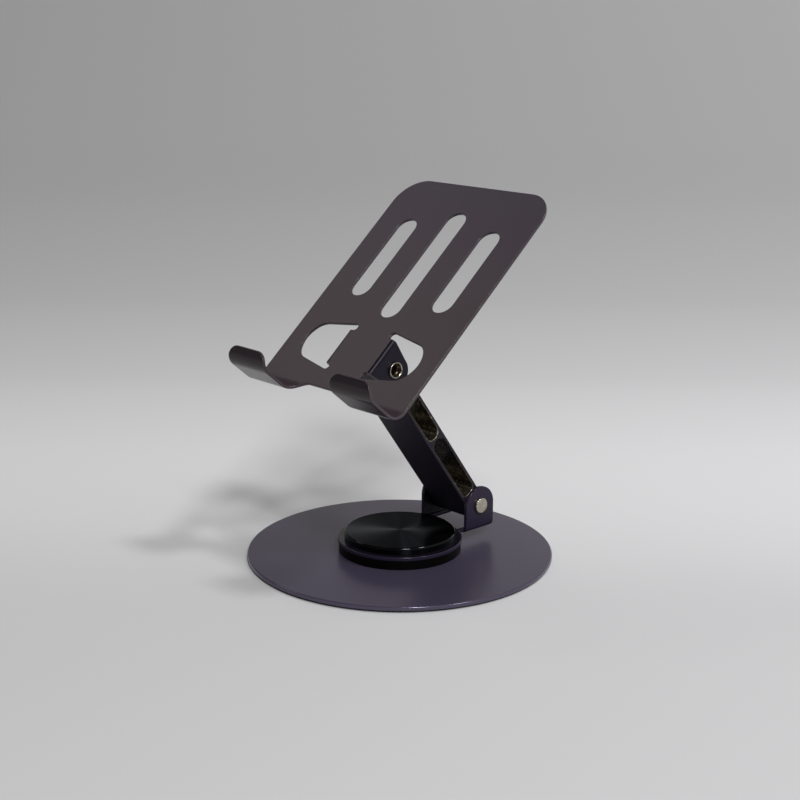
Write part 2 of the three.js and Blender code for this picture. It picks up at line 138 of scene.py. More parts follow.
SHOULDER_TOP = TABLE_TOP + RUNNING_GAP
SLIDE_WASHER_TOP = SHOULDER_TOP + SLIDE_WASHER
WAVE_WASHER_TOP = SLIDE_WASHER_TOP + WAVE_WASHER
STUD_TOP = WAVE_WASHER_TOP + STUD_HEAD

# The tray's ears fold back at x = TRAY_FOLD, and its hooks curl over HOOK_LENGTH of sheet.
TRAY_FOLD = TRAY_EAR_OUTER - TRAY_EAR_BEND
TRAY_BEND_LENGTH = TRAY_EAR_BEND * QUARTER
TRAY_EAR_END_X = TRAY_FOLD + TRAY_BEND_LENGTH + TRAY_EAR_END_DEPTH - TRAY_EAR_BEND
HOOK_ROOT_LENGTH = HOOK_BEND_RADIUS * (QUARTER - HOOK_DROOP)
LIP_BEND_LENGTH = LIP_BEND_RADIUS * (LIP_ANGLE + HOOK_DROOP)
HOOK_LENGTH = HOOK_ROOT_LENGTH + HOOK_FLOOR + LIP_BEND_LENGTH + LIP_STRAIGHT

# Joint pivots from the frame, in millimetres.
PIVOTS = {j["name"]: Vector(j["pos_m"]) / MM for j in frame["joints"]}
LOWER_PIVOT = PIVOTS["lower_hinge"]
UPPER_PIVOT = PIVOTS["upper_hinge"]
ARM_LENGTH = (UPPER_PIVOT - LOWER_PIVOT).length

# The turntable's flat pattern: its ears fold up at x = EAR_FOLD, and their bores are at EAR_PIVOT_X.
TABLE_SHEET = TABLE_TOP - TABLE_BOTTOM
EAR_FOLD = EAR_OUTER - EAR_BEND
EAR_BEND_LENGTH = EAR_BEND * QUARTER
EAR_FRONT = LOWER_PIVOT.y - EAR_RADIUS
EAR_REAR = LOWER_PIVOT.y + EAR_RADIUS
EAR_PIVOT_X = EAR_FOLD + EAR_BEND_LENGTH + LOWER_PIVOT.z - TABLE_BOTTOM - EAR_BEND

# Axes of the arm (along, front) and of the tray (up its slope, out of its front face).
ARM_ALONG = (UPPER_PIVOT - LOWER_PIVOT) / ARM_LENGTH
ARM_FRONT = Vector((0, -ARM_ALONG.z, ARM_ALONG.y))
TRAY_UP = Vector((0, math.cos(TRAY_TILT), math.sin(TRAY_TILT)))
TRAY_OUT = Vector((0, -math.sin(TRAY_TILT), math.cos(TRAY_TILT)))

# Level directions away from the photograph's viewpoint and to its right.
VIEW_AWAY = (-0.731, 0.682, 0)
VIEW_RIGHT = (0.682, 0.731, 0)

# Mesh making: points closer than these count as one or as on the axis, and MARK_MARGIN is how
# far past a rounded edge its worn look fades out.
SAME_POINT = 1e-4
ON_AXIS = 1e-6
MARK_MARGIN = 0.15


# ---- outlines in the plane ----
def arc(cx, cy, radius, start, end, steps=12):
    """Points from start to end, in degrees, both ends included."""
    angles = [math.radians(start + (end - start) * i / steps) for i in range(steps + 1)]
    return [(cx + radius * math.cos(a), cy + radius * math.sin(a)) for a in angles]


def circle(cx, cy, radius, steps):
    return arc(cx, cy, radius, 0, 360, steps)[:-1]


def rounded_box(x0, y0, x1, y1, radius, steps=12):
    """An anticlockwise box with round corners."""
    return [
        *arc(x1 - radius, y0 + radius, radius, -90, 0, steps),
        *arc(x1 - radius, y1 - radius, radius, 0, 90, steps),
        *arc(x0 + radius, y1 - radius, radius, 90, 180, steps),
        *arc(x0 + radius, y0 + radius, radius, 180, 270, steps),
    ]


def curve(start, control, end, steps=6):
    """Points of a quadratic curve after its start."""
    points = []
    for i in range(1, steps + 1):
        t = i / steps
        weights = ((1 - t) ** 2, 2 * t * (1 - t), t * t)
        points.append(tuple(
            weights[0] * start[k] + weights[1] * control[k] + weights[2] * end[k] for k in (0, 1)))
    return points


def mirrored(loop):
    return [(-x, y) for x, y in reversed(loop)]


def area(loop):
    return sum(x0 * y1 - x1 * y0 for (x0, y0), (x1, y1) in zip(loop, loop[1:] + loop[:1])) / 2


def cleaned(loop, anticlockwise, spacing):
    """A loop with repeated points dropped, long sides divided, and the wanted direction."""
    if (area(loop) > 0) != anticlockwise:
        loop = loop[::-1]
    kept = [p for p, q in zip(loop, loop[-1:] + loop[:-1]) if math.dist(p, q) > SAME_POINT]
    points = []
    for p, q in zip(kept, kept[1:] + kept[:1]):
        parts = max(1, math.ceil(math.dist(p, q) / spacing))
        points += [tuple(Vector(p).lerp(Vector(q), i / parts)) for i in range(parts)]
    return np.array(points)


def sideways(loop):
    """For each point, how far it moves for the loop to shift by 1 to its left.

    The move is cut short at corners sharper than least_share stands for.
    """
    least_share = 0.6
    before = loop - np.roll(loop, 1, axis=0)
    after = np.roll(loop, -1, axis=0) - loop
    before /= np.linalg.norm(before, axis=1)[:, None]
    after /= np.linalg.norm(after, axis=1)[:, None]
    normals = [np.stack([-d[:, 1], d[:, 0]], axis=1) for d in (before, after)]
    middle = normals[0] + normals[1]
    share = (middle * normals[0]).sum(axis=1)
    return middle / np.maximum(share, least_share)[:, None]


def inside(points, loops):
    """Even-odd test of points against closed loops."""
    never_zero = 1e-30
    odd = np.zeros(len(points), bool)
    for loop in loops:
        for (x0, y0), (x1, y1) in zip(loop, np.roll(loop, -1, axis=0)):
            crosses = (y0 > points[:, 1]) != (y1 > points[:, 1])
            if crosses.any():
                at = x0 + (points[:, 1] - y0) * (x1 - x0) / (y1 - y0 + never_zero)
                odd ^= crosses & (points[:, 0] < at)
    return odd


# ---- meshes ----
def make_piece(name, points, faces, edge_marks, materials, face_materials=None):
    """A smooth-shaded piece. edge_marks is 1 on rounded edges, for the worn look there."""
    mesh = bpy.data.meshes.new(name)
    mesh.from_pydata([tuple(Vector(p) * MM) for p in points], [], faces)
    mesh.polygons.foreach_set("use_smooth", [True] * len(mesh.polygons))
    mark = mesh.attributes.new("edge", "FLOAT", "POINT")
    mark.data.foreach_set("value", [float(m) for m in edge_marks])
    for material in materials:
        mesh.materials.append(material)
    if face_materials is not None:
        mesh.polygons.foreach_set("material_index", face_materials)
    mesh.validate()
    piece = bpy.data.objects.new(name, mesh)
    bpy.context.scene.collection.objects.link(piece)
    weighted = piece.modifiers.new("weighted_normals", "WEIGHTED_NORMAL")
    weighted.keep_sharp = False
    return piece


def fitted(piece, node, body):
    """The piece stands for a CAD node, whose part it hides, and rides on its body."""
    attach(piece, body)
    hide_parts(node)
    return piece


def edge_rings(thickness, edge, steps=4):
    """(inset, depth, mark) of the rings that run from the front face round an edge to the back."""
    rings = []
    for k in range(steps + 1):
        angle = QUARTER * (1 - k / steps)
        rings.append((edge * (1 - math.cos(angle)), edge * (1 - math.sin(angle)), k > 0))
    if thickness > 4 * edge:
        rings.append((0, edge + MARK_MARGIN, False))
    return rings + [(inset, thickness - depth, mark) for inset, depth, mark in reversed(rings)]


def face_triangles(borders, extra):
    """Triangles between the borders and through the extra points, and the triangles' centres."""
    closeness = 1e-6
    constraints = []
    first = 0
    for loop in borders:
        constraints += [(first + i, first + (i + 1) % len(loop)) for i in range(len(loop))]
        first += len(loop)
    points = [Vector(p) for p in np.concatenate([*borders, extra])]
    _, _, cells, sources, _, _ = delaunay_2d_cdt(points, constraints, [], 0, closeness)
    triangles = np.array([[sources[v][0] for v in cell] for cell in cells])
    centres = np.array(points)[triangles].mean(axis=1)
    kept = inside(centres, borders)
    return triangles[kept], centres[kept]


def plate(name, outline, holes, thickness, edge, place, materials,
          extra=(), spacing=3.0, hole_material=0, face_material=None):
    """A sheet or block cut from outline and holes, with rounded edges.

    place(a, b, depth) puts a point of the flat pattern in space; depth runs from the front face.
    extra holds points added inside the faces, where the pattern bends. face_material(a, b, back)
    picks the material of the front or back face at a point of the pattern.
    """
    loops = [cleaned(outline, True, spacing)] + [cleaned(h, False, spacing) for h in holes]
    rings = edge_rings(thickness, edge)
    points, marks, faces, face_materials, starts = [], [], [], [], []
    for number, loop in enumerate(loops):
        shift = sideways(loop)
        count = len(loop)
        starts.append(len(points))
        for inset, depth, mark in rings:
            points += [place(a, b, depth) for a, b in loop + shift * inset]
            marks += [mark] * count
        for r in range(len(rings) - 1):
            low = starts[-1] + r * count
            high = low + count
            for i in range(count):
                j = (i + 1) % count
                faces.append((low + i, high + i, high + j, low + j))
                face_materials.append(hole_material if number else 0)
    borders = [loop + sideways(loop) * edge for loop in loops]
    extra = np.array(extra).reshape(-1, 2)
    extra = extra[inside(extra, borders)] if len(extra) else extra
    triangles, centres = face_triangles(borders, extra)
    for back in (0, 1):
        here = len(points)
        points += [place(a, b, thickness * back) for a, b in extra]
        marks += [0] * len(extra)
        last_ring = (len(rings) - 1) * back
        lookup = []
        for start, loop in zip(starts, loops):
            ring_start = start + last_ring * len(loop)
            lookup += range(ring_start, ring_start + len(loop))
        lookup += range(here, here + len(extra))
        for (a, b, c), (x, y) in zip(triangles, centres):
            corner = (lookup[a], lookup[b], lookup[c])
            faces.append(corner[::-1] if back else corner)
            face_materials.append(face_material(x, y, back) if face_material else 0)
    return make_piece(name, points, faces, marks, materials, face_materials)


def bend_points(fold, bend_length, low, high):
    """Points across the bends of both ears, which start at x = fold, for plate's faces there."""
    columns = 8
    rows = 12
    return [
        (side * (fold + bend_length * i / columns), low + (high - low) * (j + 0.5) / rows)
        for side in (-1, 1) for i in range(columns + 1) for j in range(rows)
    ]


def filleted(profile, steps=5):
    """Rounds a profile of (radius, height, corner radius) and marks the round stretches."""
    margin_share = 0.3
    corners = [Vector((r, h)) for r, h, _ in profile]
    points, marks = [], []
    for i, (_, _, radius) in enumerate(profile):
        here = corners[i]
        last = corners[i - 1]
        following = corners[(i + 1) % len(corners)]
        if radius <= 0:
            points.append(here)
            marks.append(0)
            continue
        to_last = (last - here).normalized()
        to_next = (following - here).normalized()
        half = to_last.angle(to_next) / 2
        start = here + to_last * (radius / math.tan(half))
        end = here + to_next * (radius / math.tan(half))
        centre = here + (to_last + to_next).normalized() * (radius / math.sin(half))
        points.append(start + to_last * min(MARK_MARGIN, (last - start).length * margin_share))
        marks.append(0)
        for k in range(steps + 1):
            chord = start.lerp(end, k / steps) - centre
            points.append(centre + chord.normalized() * radius)
            marks.append(1)
        points.append(end + to_next * min(MARK_MARGIN, (following - end).length * margin_share))
        marks.append(0)
    return points, marks


def turned(name, profile, materials, centre=(0, 0, 0), axis="Z", segments=96, steps=5, bore=0):
    """A round piece. profile is a closed loop of (radius, height, corner radius).

    Faces within the radius bore have the second material.
    """
    outline, outline_marks = filleted(profile, steps)
    points, marks, faces, face_materials, rows = [], [], [], [], []
    for (radius, height), mark in zip(outline, outline_marks):
        rows.append(len(points))
        count = 1 if radius < ON_AXIS else segments
        for i in range(count):
            angle = 2 * math.pi * i / segments
            u, v = radius * math.cos(angle), radius * math.sin(angle)
            local = Vector((u, v, height)) if axis == "Z" else Vector((height, u, v))
            points.append(local + Vector(centre))
            marks.append(mark)
    sizes = [1 if radius < ON_AXIS else segments for radius, _ in outline]
    for k in range(len(outline)):
        n = (k + 1) % len(outline)
        if sizes[k] == 1 and sizes[n] == 1:
            continue
        for i in range(segments):
            j = (i + 1) % segments
            corner = [rows[k] + i % sizes[k], rows[k] + j % sizes[k],
                      rows[n] + j % sizes[n], rows[n] + i % sizes[n]]
            faces.append(tuple(dict.fromkeys(corner)))
            face_materials.append(int(max(outline[k][0], outline[n][0]) < bore))
    return make_piece(name, points, faces, marks, materials, face_materials)


# ---- materials ----
class Nodes:
    """Short ways to add shader nodes to one material or world."""

    def __init__(self, owner, shader, coordinates):
        owner.use_nodes = True
        self.owner = owner
        self.tree = owner.node_tree
        self.shader = self.tree.nodes[shader]
        self.place = self.add("ShaderNodeTexCoord").outputs[coordinates]

    def add(self, kind, **settings):
        node = self.tree.nodes.new(kind)
        for key, value in settings.items():
            setattr(node, key, value)
        return node

    def link(self, source, target):
        self.tree.links.new(source, target)

    def noise(self, scale, detail=3.0, roughness=0.55, source=None):
        """Noise with features 1/scale metres across."""
        node = self.add("ShaderNodeTexNoise")
        node.inputs["Scale"].default_value = scale
        node.inputs["Detail"].default_value = detail
        node.inputs["Roughness"].default_value = roughness
        self.link(source or self.place, node.inputs["Vector"])
        return node.outputs["Fac"]

    def remap(self, source, low, high, from_low=0.3, from_high=0.7, ease="LINEAR"):
        """Takes the source's range over to low..high. The usual range is that of a noise."""
        node = self.add("ShaderNodeMapRange", interpolation_type=ease)
        node.inputs["From Min"].default_value = from_low
        node.inputs["From Max"].default_value = from_high
        node.inputs["To Min"].default_value = low
        node.inputs["To Max"].default_value = high
        self.link(source, node.inputs["Value"])
        return node.outputs["Result"]

    def mix(self, factor, first, second):
        """Mixes two colours, each a colour or a socket, by a socket."""
        node = self.add("ShaderNodeMix", data_type="RGBA")
        self.link(factor, node.inputs["Factor"])
        for key, item in (("A", first), ("B", second)):
            target = next(s for s in node.inputs if s.name == key and s.type == "RGBA")
            if isinstance(item, tuple):
                target.default_value = (*item, 1)
            else:
                self.link(item, target)
        return next(s for s in node.outputs if s.type == "RGBA")

    def dot(self, source, vector):
        node = self.add("ShaderNodeVectorMath", operation="DOT_PRODUCT")
        node.inputs[1].default_value = vector
        self.link(source, node.inputs[0])
        return node.outputs["Value"]

    def math(self, operation, *items):
        node = self.add("ShaderNodeMath", operation=operation)
        for socket, item in zip(node.inputs, items):
            if isinstance(item, (int, float)):
                socket.default_value = item
            else:
                self.link(item, socket)
        return node.outputs["Value"]

    def edge(self):
        return self.add("ShaderNodeAttribute", attribute_name="edge").outputs["Fac"]

    def bump(self, height, strength, distance_mm):
        node = self.add("ShaderNodeBump")
        node.inputs["Strength"].default_value = strength
        node.inputs["Distance"].default_value = distance_mm * MM
        self.link(height, node.inputs["Height"])
        self.link(node.outputs["Normal"], self.shader.inputs["Normal"])

    def feed(self, **sources):
        """Links sockets to the shader's inputs, whose spaces are written as underscores."""
        for key, source in sources.items():
            self.link(source, self.shader.inputs[key.replace("_", " ")])

    def set(self, **numbers):
        """Sets the shader's inputs to plain numbers or colours."""
        for key, number in numbers.items():
            self.shader.inputs[key.replace("_", " ")].default_value = number


def material_nodes(name):
    return Nodes(bpy.data.materials.new(name), "Principled BSDF", "Object")


def paint(name, tone, shade, worn, roughness, gloss=0.5, metallic=0.0, upper=None):
    """Satin powder coat: a fine orange peel, slow tone changes, dust specks and paler edges.

    upper is a painted highlight: a lighter tone the coat goes over to towards the top of the tray.
    """
    dust_tone = (0.3, 0.29, 0.29)
    dust_amount = 0.5
    roughness_spread = 0.02
    edge_smoothing = 0.5
    n = material_nodes(name)
    colour = n.mix(n.remap(n.noise(12, detail=2), 0, 1), shade, tone)
    if upper:
        # Painted light: the coat is painted lighter towards the top of the tray.
        height = n.dot(n.place, tuple(TRAY_UP))
        colour = n.mix(n.remap(height, 0, 1, from_low=0.055, from_high=0.112), colour, upper)
    specks = n.noise(1500, detail=1, roughness=0.4)
    dust = n.remap(specks, 0, dust_amount, from_low=0.8, from_high=0.84)
    colour = n.mix(dust, colour, dust_tone)
    rubbed = n.remap(n.noise(150, detail=4), 0.3, 0.75)
    colour = n.mix(n.math("MULTIPLY", n.edge(), rubbed), colour, worn)
    rough = n.remap(n.noise(900, detail=3), roughness - roughness_spread, roughness + roughness_spread)
    smoothed = n.math("SUBTRACT", 1.0, n.math("MULTIPLY", n.edge(), edge_smoothing))
    n.feed(Base_Color=colour, Roughness=n.math("MULTIPLY", rough, smoothed))
    n.set(Specular_IOR_Level=gloss, Metallic=metallic)
    n.bump(n.noise(1300, detail=2, roughness=0.5), strength=0.5, distance_mm=0.006)
    return n.owner


def spun_gloss(name):
    """Black cap with a fine spun pattern, which draws reflections out into radial streaks."""
    groove_tone = (0.003, 0.0036, 0.005)
    ridge_tone = (0.006, 0.007, 0.009)
    edge_tone = (0.02, 0.02, 0.022)
    grooves_per_metre = 9000.0
    edge_roughness = 0.05
    n = material_nodes(name)
    split = n.add("ShaderNodeSeparateXYZ")
    n.link(n.place, split.inputs["Vector"])
    squares = [n.math("MULTIPLY", split.outputs[key], split.outputs[key]) for key in ("X", "Y")]
    reach = n.math("SQRT", n.math("ADD", *squares))
    groove_noise = n.add("ShaderNodeTexNoise", noise_dimensions="1D")
    groove_noise.inputs["Scale"].default_value = 1.0
    n.link(n.math("MULTIPLY", reach, grooves_per_metre), groove_noise.inputs["W"])
    grooves = groove_noise.outputs["Fac"]
    colour = n.mix(n.remap(grooves, 0, 1), groove_tone, ridge_tone)
    colour = n.mix(n.edge(), colour, edge_tone)
    face = n.math("SUBTRACT", 1.0, n.edge())
    spun = n.math("MULTIPLY", n.remap(n.noise(70, detail=3), 0.28, 0.33), face)
    n.feed(Base_Color=colour, Roughness=n.math("ADD", spun, edge_roughness))
    n.set(Metallic=1.0, Specular_Tint=(0.785, 0.8, 0.825, 1))
    n.set(Anisotropic=1.0, Anisotropic_Rotation=0.25)
    tangent = n.add("ShaderNodeTangent", direction_type="RADIAL", axis="Z")
    n.feed(Tangent=tangent.outputs["Tangent"])
    n.bump(grooves, strength=0.15, distance_mm=0.004)
    return n.owner


def moulded(name, tone, roughness, grain=0.01, gloss=0.5):
    """Moulded plastic or rubber with a fine grain, grain being its depth in millimetres."""
    roughness_spread = 0.06
    pale_gain = 1.25
    pale_lift = 0.001
    n = material_nodes(name)
    pale = tuple(min(1, c * pale_gain + pale_lift) for c in tone)
    colour = n.mix(n.remap(n.noise(90, detail=3), 0, 1), tone, pale)
    rough = n.remap(n.noise(500, detail=3), roughness - roughness_spread, roughness + roughness_spread)
    n.feed(Base_Color=colour, Roughness=rough)
    n.set(Specular_IOR_Level=gloss)
    n.bump(n.noise(2200, detail=2), strength=0.5, distance_mm=grain)
    return n.owner


def plated(name, tone, dull, roughness):
    """Plated metal with faint stains and fine scratches, cleaner on its edges."""
    edge_cleaning = 0.5
    smoother = 0.06
    rougher = 0.1
    n = material_nodes(name)
    colour = n.mix(n.remap(n.noise(600, detail=4, roughness=0.65), 0, 1), tone, dull)
    colour = n.mix(n.math("MULTIPLY", n.edge(), edge_cleaning), colour, tone)
    rough = n.remap(n.noise(900, detail=4), roughness - smoother, roughness + rougher)
    n.feed(Base_Color=colour, Roughness=rough)
    n.set(Metallic=1.0)
    n.bump(n.noise(3000, detail=3), strength=0.35, distance_mm=0.004)
    return n.owner


def raw_alloy(name):
    """The arm's windows inside: cut alloy, drawn along the arm.

    Each window is painted dark at its upper end and goes over to the alloy towards its lower end, a
    painted shade.
    """
    # coat is a painted shade: the dark tone at each window's upper end.
    coat = (0.02, 0.017, 0.021)
    dull = (0.088, 0.077, 0.062)
    pale = (0.17, 0.153, 0.115)
    fleck_tone = (0.42, 0.37, 0.25)
    n = material_nodes(name)
    stretch = n.add("ShaderNodeMapping")
    stretch.inputs["Rotation"].default_value = (math.atan2(ARM_ALONG.z, ARM_ALONG.y), 0, 0)
    stretch.inputs["Scale"].default_value = (1, 0.12, 1)
    n.link(n.place, stretch.inputs["Vector"])
    drawn = n.noise(900, detail=4, roughness=0.5, source=stretch.outputs["Vector"])
    alloy = n.mix(n.remap(n.noise(220, detail=3), 0, 1), dull, pale)
    flecks = n.remap(n.noise(520, detail=2), 0, 1, from_low=0.57, from_high=0.64)
    alloy = n.mix(flecks, alloy, fleck_tone)
    # Painted shade: each window goes from the coat tone at its upper end to the alloy towards its lower
    # end.
    travel = n.math("SUBTRACT", n.dot(n.place, tuple(ARM_ALONG)), LOWER_PIVOT.dot(ARM_ALONG) * MM)
    window_share = n.math("FRACT", n.math("DIVIDE", travel, ARM_LENGTH * MM / 2))
    painted_window_shade = n.remap(window_share, 1, 0.12, from_low=0.26, from_high=0.62)
    n.feed(Base_Color=n.mix(painted_window_shade, coat, alloy), Roughness=n.remap(drawn, 0.2, 0.36))
    n.set(Metallic=0.9)
    n.bump(drawn, strength=0.3, distance_mm=0.02)
    return n.owner


BASE_PAINT = paint(
    "base_paint", tone=(0.076, 0.063, 0.105), shade=(0.071, 0.059, 0.096), worn=(0.08, 0.07, 0.105),
    roughness=0.3, metallic=0.35)
# The tray paint is painted lighter towards the tray's top, a painted light.
TRAY_PAINT = paint(
    "tray_paint", tone=(0.037, 0.0225, 0.028), shade=(0.034, 0.021, 0.0285), worn=(0.05, 0.038, 0.044),
    roughness=0.38, gloss=0.45, upper=(0.043, 0.03, 0.046))
# Painted shade: a darker copy of the tray paint on the tray's back face, which darkens the hooks' lips.
TRAY_BACK_SHADED_PAINT = paint(
    "tray_back_painted_shade", tone=(0.0135, 0.0065, 0.0105), shade=(0.0125, 0.006, 0.01),
    worn=(0.03, 0.022, 0.028), roughness=0.2, gloss=0.33)
# Painted shade: a darker copy of the tray paint on the tray's ears, which lie in the tray's shade.
TRAY_EAR_SHADED_PAINT = paint(
    "tray_ear_painted_shade", tone=(0.0055, 0.0035, 0.011), shade=(0.005, 0.003, 0.01),
    worn=(0.03, 0.022, 0.035), roughness=0.36, gloss=0.18)
ARM_PAINT = paint(
    "arm_paint", tone=(0.016, 0.013, 0.021), shade=(0.014, 0.012, 0.019), worn=(0.045, 0.04, 0.055),
    roughness=0.4, gloss=0.15)
BRACKET_PAINT = paint(
    "bracket_paint", tone=(0.0165, 0.012, 0.03), shade=(0.0155, 0.0115, 0.027),
    worn=(0.022, 0.018, 0.035), roughness=0.36, gloss=0.22)
# Painted shade: a darker copy of the bracket paint on the disc's top and the ears' inner faces.
BRACKET_SHADED_PAINT = paint(
    "bracket_painted_shade", tone=(0.006, 0.0048, 0.0085), shade=(0.0055, 0.0043, 0.0075),
    worn=(0.02, 0.016, 0.03), roughness=0.26, gloss=0.3)
CAP_BLACK = spun_gloss("cap_black")
RING_BLACK = moulded("ring_black", tone=(0.001, 0.001, 0.0011), roughness=0.35, gloss=0.06)
NYLON = moulded("nylon", tone=(0.55, 0.53, 0.47), roughness=0.5)
FOAM = moulded("foam", tone=(0.62, 0.62, 0.6), roughness=0.85, grain=0.05)
PAD_RUBBER = moulded("pad_rubber", tone=(0.012, 0.012, 0.012), roughness=0.75, grain=0.03, gloss=0.3)
NICKEL = plated("nickel", tone=(0.51, 0.485, 0.41), dull=(0.36, 0.325, 0.25), roughness=0.27)
# Painted shade: a darker, browner nickel for the rivets' hollows, where shade falls.
NICKEL_BORE_SHADED = plated("nickel_bore_painted_shade", tone=(0.14, 0.11, 0.075), dull=(0.05, 0.038, 0.025), roughness=0.36)
STEEL = plated("steel", tone=(0.6, 0.6, 0.62), dull=(0.42, 0.42, 0.43), roughness=0.34)
WINDOW_ALLOY = raw_alloy("window_alloy")


# ---- base ----
def base_pad():
    hole = 9
    outer = BASE_RADIUS - PAD_INSET
    profile = [
        (hole, 0, CRISP),
        (outer, 0, 0.2),
        (outer, PAD_THICKNESS, 0),
        (hole, PAD_THICKNESS, 0),
    ]
    piece = turned("pad", profile, [PAD_RUBBER], segments=256)
    return fitted(piece, "base_pad", "base")


def base_plate():
    hole = STUD_RADIUS + BORE_GAP
    profile = [
        (hole, PAD_THICKNESS, 0),
        (BASE_RADIUS, PAD_THICKNESS, 0.2),
        (BASE_RADIUS, PLATE_TOP, 0.4),
        (hole, PLATE_TOP, 0),
    ]
    piece = turned("plate", profile, [BASE_PAINT], segments=320, steps=6)
    return fitted(piece, "base_plate", "base")


def bearing_ring():
    top = TABLE_BOTTOM - RUNNING_GAP
    bore = STUD_RADIUS + LOOSE_GAP
    hub_wall = 4
    hub = bore + hub_wall
    rim = 17.5
    recess = 0.8
    profile = [
        (bore, PLATE_TOP, 0),
        (BEARING_RADIUS, PLATE_TOP, 0.15),
        (BEARING_RADIUS, top, 0.25),
        (rim, top, CRISP),
        (rim, top - recess, 0),
        (hub, top - recess, 0),
        (hub, top, CRISP),
        (bore, top, CRISP),
    ]
    piece = turned("bearing", profile, [RING_BLACK], segments=192, steps=4)
    return fitted(piece, "bearing_ring", "base")


def swivel_stud():
    flange = 8
    flange_bottom = 0.1
    peened = 5
    peened_slope = 0.8
    profile = [
        (0, flange_bottom, 0),
        (flange, flange_bottom, 0.15),
        (flange, PAD_THICKNESS, 0),
        (STUD_RADIUS, PAD_THICKNESS, 0),
        (STUD_RADIUS, SHOULDER_TOP, CRISP),
        (STUD_NECK, SHOULDER_TOP, 0),
        (STUD_NECK, WAVE_WASHER_TOP, 0),
        (peened, WAVE_WASHER_TOP, 0.2),
        (peened - peened_slope, STUD_TOP, 0.3),
        (0, STUD_TOP, 0),
    ]
    return fitted(turned("stud", profile, [STEEL]), "swivel_stud", "base")


def slide_washer():
    outer = 8
    inner = STUD_NECK + RUNNING_GAP
    profile = [
        (inner, SHOULDER_TOP, 0.08),
        (outer, SHOULDER_TOP, 0.12),
        (outer, SLIDE_WASHER_TOP, 0.12),
        (inner, SLIDE_WASHER_TOP, 0.08),
    ]
    return fitted(turned("washer", profile, [STEEL]), "slide_washer", "base")


def wave_washer():
    sheet = 0.3
    corner = 0.05
    outer = 7.2
    inner = STUD_NECK + LOOSE_GAP
    profile = [
        (inner, WAVE_WASHER_TOP - sheet, corner),
        (outer, SLIDE_WASHER_TOP, corner),
        (outer, SLIDE_WASHER_TOP + sheet, corner),
        (inner, WAVE_WASHER_TOP, corner),
    ]
    return fitted(turned("spring_washer", profile, [STEEL]), "wave_washer", "base")


# ---- turntable ----
def bracket_outline():
    """The flat pattern's outer loop, anticlockwise from where the disc meets the right ear."""
    disc_start = math.degrees(math.acos(EAR_FOLD / TABLE_RADIUS))
    tongue_start = math.sqrt(TABLE_RADIUS ** 2 - TONGUE_INNER ** 2)
    rear_end = math.degrees(math.asin(TONGUE_INNER / TABLE_RADIUS))
    right = [
        (EAR_FOLD, TABLE_RADIUS * math.sin(math.radians(disc_start))),
        (EAR_FOLD, EAR_FRONT),
        *arc(EAR_PIVOT_X, LOWER_PIVOT.y, EAR_RADIUS, -90, 90, 36),
        (EAR_FOLD + EAR_BEND_LENGTH, EAR_REAR),
        (EAR_FOLD, EAR_REAR - REAR_CORNER),
        (TONGUE_INNER + REAR_CORNER, EAR_REAR - REAR_CORNER),
        (TONGUE_INNER, EAR_REAR - 2 * REAR_CORNER),
        (TONGUE_INNER, tongue_start),
    ]
    rear_arc = arc(0, 0, TABLE_RADIUS, 90 - rear_end, 90 + rear_end, 24)
    front_arc = arc(0, 0, TABLE_RADIUS, 180 - disc_start, 360 + disc_start, 160)
    return [*right, *rear_arc[1:-1], *mirrored(right), *front_arc[1:-1]]


def bracket_point(a, b, depth):
    """Puts a point of the turntable's flat pattern in space."""
    margin = 0.01
    beyond = abs(a) - EAR_FOLD
    rise = TABLE_SHEET - depth
    if beyond <= 0 or b < EAR_FRONT - margin:
        return Vector((a, b, TABLE_BOTTOM + rise))
    angle = min(beyond / EAR_BEND, QUARTER)
    radius = EAR_BEND - rise
    x = EAR_FOLD + radius * math.sin(angle)
    z = TABLE_BOTTOM + EAR_BEND - radius * math.cos(angle) + max(0, beyond - EAR_BEND_LENGTH)
    return Vector((math.copysign(x, a), b, z))


def swivel_bracket():
    """One pressing: the disc, and two ears bent up at its rear."""
    centre_hole = circle(0, 0, STUD_RADIUS + LOOSE_GAP, 48)
    bore = circle(EAR_PIVOT_X, LOWER_PIVOT.y, RIVET_SHANK + BORE_GAP, 32)
    holes = [centre_hole, bore, mirrored(bore)]
    ear_points = bend_points(EAR_FOLD, EAR_BEND_LENGTH, EAR_FRONT, EAR_REAR)

    # The disc's top and the ears' inner faces take the darker copy, a painted shade.
    def face_material(_a, _b, back):
        return 0 if back else 1

    piece = plate("turntable", bracket_outline(), holes, TABLE_SHEET, SHEET_EDGE, bracket_point,
                  [BRACKET_PAINT, BRACKET_SHADED_PAINT], extra=ear_points, spacing=0.8,
                  face_material=face_material)
    return fitted(piece, "swivel_bracket", "turntable")


def hub_cap():
    wall = 0.8
    inner = CAP_RADIUS - wall
    under = CAP_TOP - CAP_SHEET
    profile = [
        (inner, TABLE_TOP, 0),
        (CAP_RADIUS, TABLE_TOP, CRISP),
        (CAP_RADIUS, CAP_TOP, 0.6),
        (0, CAP_TOP, 0),
        (0, under, 0),
        (inner, under, 0.2),
    ]
    piece = turned("cap", profile, [CAP_BLACK], segments=256, steps=8)
    return fitted(piece, "hub_cap", "turntable")


def cap_foam_ring():
    inner = 11
    outer = 18.8
    top = CAP_TOP - CAP_SHEET
    corners = [(inner, TABLE_TOP), (outer, TABLE_TOP), (outer, top), (inner, top)]
    profile = [(radius, height, CRISP) for radius, height in corners]
    return fitted(turned("foam_ring", profile, [FOAM]), "cap_foam_ring", "turntable")


